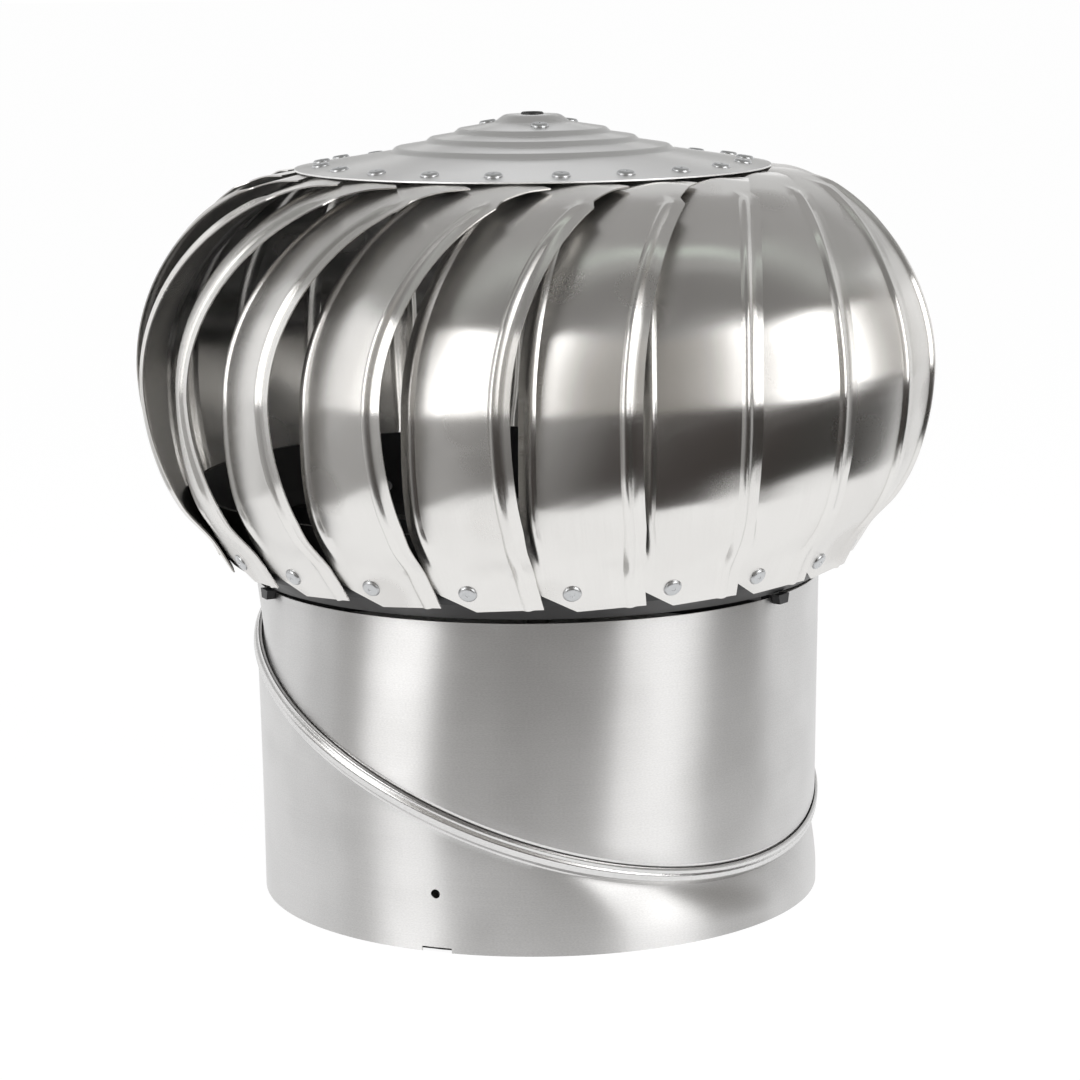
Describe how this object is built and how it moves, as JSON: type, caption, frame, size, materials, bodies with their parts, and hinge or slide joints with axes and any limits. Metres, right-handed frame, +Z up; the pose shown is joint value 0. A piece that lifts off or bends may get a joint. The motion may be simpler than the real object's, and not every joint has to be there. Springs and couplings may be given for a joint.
{
  "type": "roof turbine ventilator",
  "caption": "Wind-driven roof ventilator: a free-spinning head of curved, beaded vanes under a shallow conical cap, on a two-piece swivelling throat.",
  "frame": {"origin": "centre of the lower throat's bottom rim, on the axis of the level throat", "axes": "+Z up along the axle, -Y towards the front"},
  "size_m": [0.419, 0.4196, 0.4116],
  "materials": {
    "throat_sheet": "satin mill-finish aluminium sheet",
    "vane_sheet": "satin mill-finish aluminium sheet",
    "cap_sheet": "satin spun aluminium sheet",
    "housing_sheet": "plain pressed steel",
    "rivet_alloy": "plain aluminium blind rivets",
    "black_moulding": "black moulded plastic, slight sheen",
    "plug_plastic": "dark moulded plastic",
    "bush_plastic": "natural acetal",
    "steel": "plain steel"
  },
  "bodies": {
    "lower": {"lower_throat": "throat_sheet"},
    "upper": {"upper_throat": "throat_sheet", "axle_carrier": "black_moulding", "axle": "steel", "axle_washer": "steel", "axle_nut": "steel", "bearing_circlip": "steel", "bearing_inner_ring": "steel"},
    "rotor": {"base_bowl": "black_moulding", "hub_bush": "bush_plastic", "bearing_housing": "housing_sheet", "bearing_outer_ring": "steel", "cap": "cap_sheet", "cap_plug": "plug_plastic", "cap_rivets": "rivet_alloy", "base_rivets": "rivet_alloy", "tip_rivets": "rivet_alloy", "vane_01": "vane_sheet", "vane_02": "vane_sheet", "vane_03": "vane_sheet", "vane_04": "vane_sheet", "vane_05": "vane_sheet", "vane_06": "vane_sheet", "vane_07": "vane_sheet", "vane_08": "vane_sheet", "vane_09": "vane_sheet", "vane_10": "vane_sheet", "vane_11": "vane_sheet", "vane_12": "vane_sheet", "vane_13": "vane_sheet", "vane_14": "vane_sheet", "vane_15": "vane_sheet", "vane_16": "vane_sheet", "vane_17": "vane_sheet", "vane_18": "vane_sheet", "vane_19": "vane_sheet", "vane_20": "vane_sheet", "vane_21": "vane_sheet"}
  },
  "joints": [
    {"name": "throat_swivel", "type": "hinge", "parent": "lower", "child": "upper", "pos_m": [0, 0, 0.094], "axis": [0.3161, -0.256, 0.9135], "continuous": true},
    {"name": "rotor_spin", "type": "hinge", "parent": "upper", "child": "rotor", "pos_m": [0, 0, 0.19], "axis": [0, 0, 1], "continuous": true}
  ]
}
